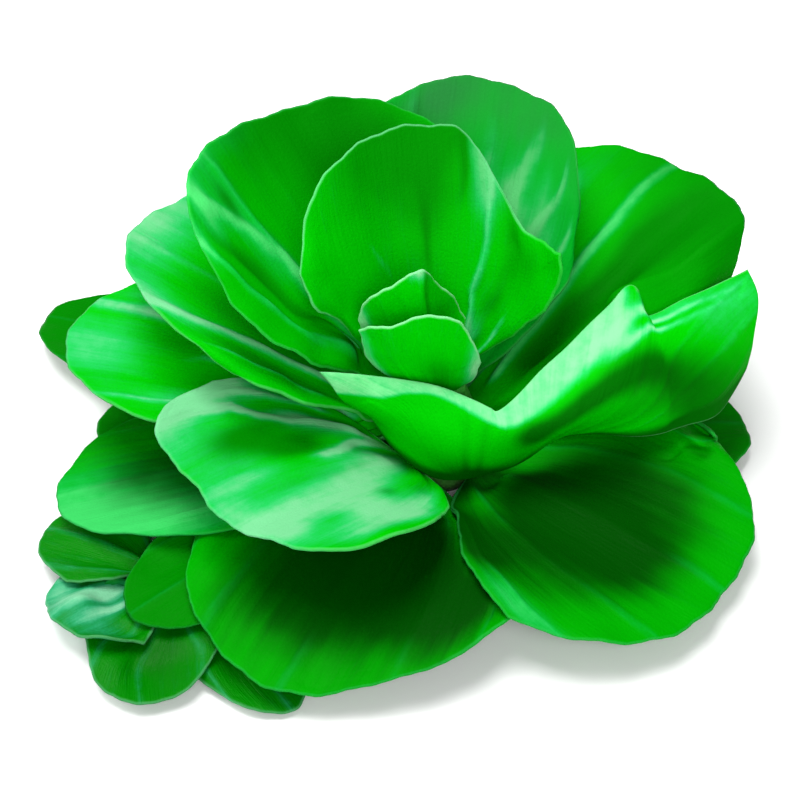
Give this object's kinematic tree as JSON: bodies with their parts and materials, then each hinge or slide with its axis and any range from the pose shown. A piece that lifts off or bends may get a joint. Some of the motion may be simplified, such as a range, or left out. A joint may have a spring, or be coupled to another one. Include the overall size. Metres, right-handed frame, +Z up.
{
  "type": "water lettuce",
  "caption": "Floating water plant: a rosette of broad, ribbed, velvety leaves round a short stem, with a young offset plant on a runner and spread roots.",
  "frame": {"origin": "middle of the flat underside of the main stem, on the surface that the plant rests on", "axes": "+X to the right and +Y away from the front as the picture shows the plant, +Z up through the heart of the rosette"},
  "size_m": [0.1804, 0.1641, 0.0748],
  "materials": {
    "leaf": "velvety green leaf with raised ribs and a thin pale margin",
    "young_leaf": "lighter green young leaf, finely ribbed",
    "shaded_leaf": "darker green old leaf",
    "offset_leaf": "green leaf of the young plant, slightly glossy",
    "stem": "pale green fleshy stem",
    "runner": "smooth green runner",
    "root": "soft brown roots with fine side roots"
  },
  "bodies": {
    "root": {"heart_leaf_front": "young_leaf", "heart_leaf_back": "young_leaf", "upright_leaf": "leaf", "back_left_leaf": "leaf", "back_leaf": "leaf", "back_right_leaf": "leaf", "upper_left_leaf": "leaf", "front_left_leaf": "leaf", "left_leaf": "leaf", "lower_right_leaf": "leaf", "lower_left_leaf": "leaf", "lower_front_leaf": "leaf", "outer_front_left_leaf": "shaded_leaf", "outer_left_leaf": "shaded_leaf", "outer_side_leaf": "shaded_leaf", "outer_right_leaf": "shaded_leaf", "outer_back_right_leaf": "shaded_leaf", "outer_back_leaf": "shaded_leaf", "outer_back_left_leaf": "shaded_leaf", "offset_leaf_left": "offset_leaf", "offset_leaf_front_left": "offset_leaf", "offset_leaf_front": "offset_leaf", "offset_leaf_front_right": "offset_leaf", "folded_leaf": "leaf", "stem": "stem", "offset_stem": "stem", "runner": "runner", "root_1": "root", "root_2": "root", "root_3": "root", "root_4": "root", "root_5": "root", "root_6": "root", "root_7": "root", "root_8": "root", "root_9": "root", "root_10": "root", "root_11": "root"}
  },
  "joints": []
}
